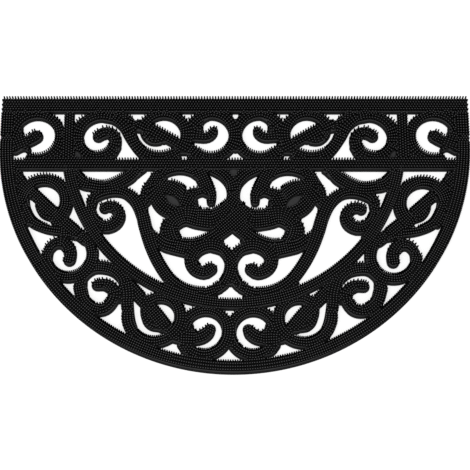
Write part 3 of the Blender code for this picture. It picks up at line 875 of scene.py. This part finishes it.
def bar_reach(edges, x, y, half, nx, ny, is_rail):
    """How far from the centreline pins may stand on one side of a bar."""
    facing = front_facing(x, y, nx, ny)
    if not is_rail and edges.nearest(x + nx * half, y + ny * half)[0] > 2 * EDGE_SAMPLE:
        facing = 0.0
    return half - PIN_EDGE - PIN_FRONT_EDGE * facing


def bar_places(edges, rows, pitch, spacing, staggered, is_rail):
    """Pin places on one bar: straight ranks across it from edge to edge, or staggered ones."""
    places = []
    step = pitch / 2 if staggered else pitch
    for number, (x, y, half, dx, dy) in enumerate(stations(rows, step)):
        high = bar_reach(edges, x, y, half, -dy, dx, is_rail)
        low = -bar_reach(edges, x, y, half, dy, -dx, is_rail)
        if high < low:
            continue
        gaps = round((high - low) / spacing)
        for n in range(gaps + 1):
            if staggered and (n + number) % 2:
                continue
            aside = low + (high - low) * n / gaps if gaps else (low + high) / 2
            places.append((x - dy * aside, y + dx * aside))
    return places


class Crowd:
    """Points in square cells, for quick tests of how near the next one is."""

    def __init__(self):
        self.cells = {}

    def add(self, x, y):
        self.cells.setdefault((int(x // CELL), int(y // CELL)), []).append((x, y))

    def near(self, x, y, distance):
        """True if a point lies closer than the distance, which is at most one cell."""
        column, row = int(x // CELL), int(y // CELL)
        for i in (column - 1, column, column + 1):
            for j in (row - 1, row, row + 1):
                for px, py in self.cells.get((i, j), ()):
                    if hypot(x - px, y - py) < distance:
                        return True
        return False


def smooth_crowd():
    """Points spread over the smooth spots, which pins keep away from."""
    smooth = Crowd()
    for loop, _ in dish_loops():
        middle_x, middle_y = (sum(values) / len(loop) for values in zip(*loop))
        for x, y in loop:
            for share in DISH_SHARES:
                smooth.add(middle_x + (x - middle_x) * share, middle_y + (y - middle_y) * share)
    return smooth


def past_round_edge(x, y):
    """True where a place lies on or beyond the round edge of the mat."""
    from_centre = hypot(x - BORDER_LEAN * (y - CENTRE_Y), y - CENTRE_Y)
    return y < CENTRE_Y and from_centre > ROUND_RADIUS - PIN_EDGE / 2


def area_of(x, y):
    """The part of the mat where a place lies."""
    from_arch = hypot(x - ARCH_X, y - ARCH_Y)
    if y > MIDDLE_Y:
        return "panel"
    return "arch" if from_arch > ARCH_INNER else "field"


def inside(triangle, x, y):
    """True where a place lies in an anticlockwise triangle."""
    (x0, y0), (x1, y1), (x2, y2) = triangle
    return ((x1 - x0) * (y - y0) - (y1 - y0) * (x - x0) >= 0
            and (x2 - x1) * (y - y1) - (y2 - y1) * (x - x1) >= 0
            and (x0 - x2) * (y - y2) - (y0 - y2) * (x - x2) >= 0)


def fill_places(corners, edges, pins, smooth):
    """Places for more pins wherever the top is still bare."""
    spots = set()
    for triangle in corners:
        xs = [p[0] for p in triangle]
        ys = [p[1] for p in triangle]
        for i in range(ceil(min(xs) / FILL_STEP), int(max(xs) // FILL_STEP) + 1):
            for j in range(ceil(min(ys) / FILL_STEP), int(max(ys) // FILL_STEP) + 1):
                if inside(triangle, i * FILL_STEP, j * FILL_STEP):
                    spots.add((j, i))
    places = []
    for j, i in sorted(spots):
        x, y = i * FILL_STEP, j * FILL_STEP
        if pins.near(x, y, FILL_PITCH) or smooth.near(x, y, DISH_MARGIN):
            continue
        if edges.too_close(x, y, 1.0):
            continue
        pins.add(x, y)
        places.append((x, y))
    return places


def pin_places(edges, corners):
    """Every pin's place, by the part of the mat it stands on."""
    lines = [line + (True,) for line in rail_lines()]
    for line in scroll_lines(PIN_LINE_STEP, PIN_LINE_STEP_DEG) + web_lines():
        pitch = PANEL_PITCH if line[0][1] > MIDDLE_Y else SCROLL_PITCH
        lines.append((None, with_ends(line), pitch, SCROLL_ROWS, False, False))
    smooth = smooth_crowd()
    pins = Crowd()
    groups = {}
    earlier = []
    for area, rows, pitch, spacing, staggered, is_rail in lines:
        tree = KDTree(max(1, len(earlier)))
        for i, (x, y, _) in enumerate(earlier):
            tree.insert((x, y, 0.0), i)
        tree.balance()
        reach = max((row[2] for row in earlier), default=0.0) + PIN_GAP
        for x, y in bar_places(edges, rows, pitch, spacing, staggered, is_rail):
            if any(d < earlier[i][2] + PIN_GAP for _, i, d in tree.find_range((x, y, 0.0), reach)):
                continue
            if pins.near(x, y, PIN_CROWD) or smooth.near(x, y, DISH_MARGIN):
                continue
            if edges.too_close(x, y, EDGE_SHARE) or past_round_edge(x, y):
                continue
            pins.add(x, y)
            groups.setdefault(area or area_of(x, y), []).append((x, y))
        earlier += rows[::2]
    for x, y in fill_places(corners, edges, pins, smooth):
        groups[area_of(x, y)].append((x, y))
    return groups


def pins_object(name, places, edges):
    """Tapered pins, each closed, tips in the second slot with a painted highlight; those on edges that
    face back lean out.
    """
    rings = [(PLATE_TOP - PIN_SUNK, PIN_BASE_RADIUS), (PIN_TOP - PIN_NECK, PIN_NECK_RADIUS),
             (PIN_TOP - PIN_ROUND, PIN_TIP_RADIUS)]
    circle = [(cos(2 * pi * side / PIN_SIDES), sin(2 * pi * side / PIN_SIDES))
              for side in range(PIN_SIDES)]
    points, surfaces, slots = [], [], []
    for x, y in places:
        start = len(points)
        lean = edges.lean_of(x, y)
        dx, dy = lean or (0.0, 0.0)
        for z, radius in rings + [(PIN_TOP, 0.0)]:
            rise = (z - rings[0][0]) / (PIN_TOP - rings[0][0])
            middle_x, middle_y = x + dx * rise, y + dy * rise
            if radius:
                points += [(middle_x + radius * c, middle_y + radius * s, z) for c, s in circle]
            else:
                points.append((middle_x, middle_y, z))
        tip = len(points) - 1
        surfaces.append(tuple(start + side for side in reversed(range(PIN_SIDES))))
        slots.append(SIDE_SLOT)
        for side in range(PIN_SIDES):
            a, b = start + side, start + (side + 1) % PIN_SIDES
            for _ in range(len(rings) - 1):
                surfaces.append((a, b, b + PIN_SIDES, a + PIN_SIDES))
                slots.append(SIDE_SLOT)
                a, b = a + PIN_SIDES, b + PIN_SIDES
            surfaces.append((a, b, tip))
            # Tips of pins that lean out get no painted highlight
            slots.append(SIDE_SLOT if lean else TIP_HIGHLIGHT_SLOT)
    return new_object(name, points, surfaces, PIN_SHARP_DEG, slots)


def mixed(tree, low, high, factor):
    """Socket with a colour between the two, by the factor."""
    mix = tree.nodes.new("ShaderNodeMix")
    mix.data_type = "RGBA"
    # The node's sockets for colours share their names with others, so they go by their place
    mix.inputs[6].default_value = low
    mix.inputs[7].default_value = high
    tree.links.new(factor, mix.inputs[0])
    return mix.outputs[2]


def noise(tree, where, scale, detail):
    """Socket with a noise pattern."""
    node = tree.nodes.new("ShaderNodeTexNoise")
    node.inputs["Scale"].default_value = scale
    node.inputs["Detail"].default_value = detail
    tree.links.new(where, node.inputs["Vector"])
    return node.outputs["Fac"]


def ranged(tree, value, from_range, to_range):
    """Socket with the value carried from one range over to another, kept within it."""
    node = tree.nodes.new("ShaderNodeMapRange")
    for end, given, wanted in zip(("Min", "Max"), from_range, to_range):
        node.inputs["From " + end].default_value = given
        node.inputs["To " + end].default_value = wanted
    tree.links.new(value, node.inputs["Value"])
    return node.outputs["Result"]


def grey(level):
    """A grey with a slight blue cast."""
    return level, level, level * BLUE_SHARE, 1.0


def rubber_material(name, low_shaded_grey, high_lit_grey, low_z, high_z, roughness, specular):
    """Matt black rubber with painted shade low down and painted light towards the top, finely grained,
    with a little dust in patches.
    """
    material = bpy.data.materials.new(name)
    material.use_nodes = True
    tree = material.node_tree
    shader = tree.nodes["Principled BSDF"]
    shader.inputs["Roughness"].default_value = roughness
    shader.inputs["Specular IOR Level"].default_value = specular
    where = tree.nodes.new("ShaderNodeTexCoord").outputs["Object"]
    split = tree.nodes.new("ShaderNodeSeparateXYZ")
    tree.links.new(where, split.inputs[0])
    # Painted shade and light: the grey darkens towards the low height and lightens towards the high
    # one
    rise = ranged(tree, split.outputs["Z"], (low_z * MM, high_z * MM), (0.0, 1.0))
    dust = ranged(tree, noise(tree, where, DUST_SCALE, DUST_DETAIL), DUST_RANGE, DUST_STRENGTH)
    strength = tree.nodes.new("ShaderNodeMath")
    strength.operation = "MULTIPLY"
    tree.links.new(rise, strength.inputs[0])
    tree.links.new(dust, strength.inputs[1])
    colour = mixed(tree, grey(low_shaded_grey), grey(high_lit_grey), strength.outputs[0])
    tree.links.new(colour, shader.inputs["Base Color"])
    bump = tree.nodes.new("ShaderNodeBump")
    bump.inputs["Strength"].default_value = GRAIN_STRENGTH
    bump.inputs["Distance"].default_value = GRAIN_DEPTH
    tree.links.new(noise(tree, where, GRAIN_SCALE, GRAIN_DETAIL), bump.inputs["Height"])
    tree.links.new(bump.outputs["Normal"], shader.inputs["Normal"])
    return material


def floor_object():
    """A wide pale sheet just under the mat."""
    mesh = bpy.data.meshes.new("floor")
    mesh.from_pydata([(-FLOOR_HALF, -FLOOR_HALF, 0), (FLOOR_HALF, -FLOOR_HALF, 0),
                      (FLOOR_HALF, FLOOR_HALF, 0), (-FLOOR_HALF, FLOOR_HALF, 0)], [], [(0, 1, 2, 3)])
    sheet = bpy.data.objects.new("floor", mesh)
    bpy.context.scene.collection.objects.link(sheet)
    sheet.location.z = -FLOOR_DROP
    paper = bpy.data.materials.new("floor_paper")
    paper.use_nodes = True
    shader = paper.node_tree.nodes["Principled BSDF"]
    shader.inputs["Base Color"].default_value = FLOOR_COLOUR
    shader.inputs["Roughness"].default_value = FLOOR_ROUGHNESS
    shader.inputs["Specular IOR Level"].default_value = 0.0
    shader.inputs["Emission Color"].default_value = WHITE
    shader.inputs["Emission Strength"].default_value = FLOOR_GLOW
    mesh.materials.append(paper)
    return sheet


def add_studio():
    """Even white surroundings and one large soft light."""
    world = bpy.data.worlds.new("studio")
    world.use_nodes = True
    world.node_tree.nodes["Background"].inputs["Color"].default_value = WHITE
    world.node_tree.nodes["Background"].inputs["Strength"].default_value = WORLD_STRENGTH
    bpy.context.scene.world = world
    data = bpy.data.lights.new("overhead", "AREA")
    data.shape = "SQUARE"
    data.size = LIGHT_SIZE
    data.energy = LIGHT_POWER
    lamp = bpy.data.objects.new("overhead", data)
    lamp.location = LIGHT_PLACE
    aim = Vector(LIGHT_TARGET) - Vector(LIGHT_PLACE)
    lamp.rotation_euler = aim.to_track_quat("-Z", "Y").to_euler()
    bpy.context.scene.collection.objects.link(lamp)


def add_camera():
    """The camera, tilted forward from straight down, without shift."""
    data = bpy.data.cameras.new("camera")
    data.lens = CAMERA_LENS
    data.sensor_width = CAMERA_SENSOR
    camera = bpy.data.objects.new("camera", data)
    camera.location = (0.0, CAMERA_Y, CAMERA_HEIGHT)
    camera.rotation_euler = (CAMERA_TILT, 0.0, 0.0)
    bpy.context.scene.collection.objects.link(camera)
    bpy.context.scene.camera = camera
    bpy.context.scene.view_settings.view_transform = "Standard"


plate, plate_edges, plate_corners = plate_object()
for rubber in PLATE_RUBBERS:
    plate.data.materials.append(rubber_material(*rubber))
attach(plate, "root")
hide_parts("mat")

pin_materials = [rubber_material(*rubber) for rubber in PIN_RUBBERS]
for area, places in pin_places(plate_edges, plate_corners).items():
    pins = pins_object("pins_" + area, places, plate_edges)
    for material in pin_materials:
        pins.data.materials.append(material)
    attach(pins, "root")

floor = floor_object()
add_studio()
add_camera()
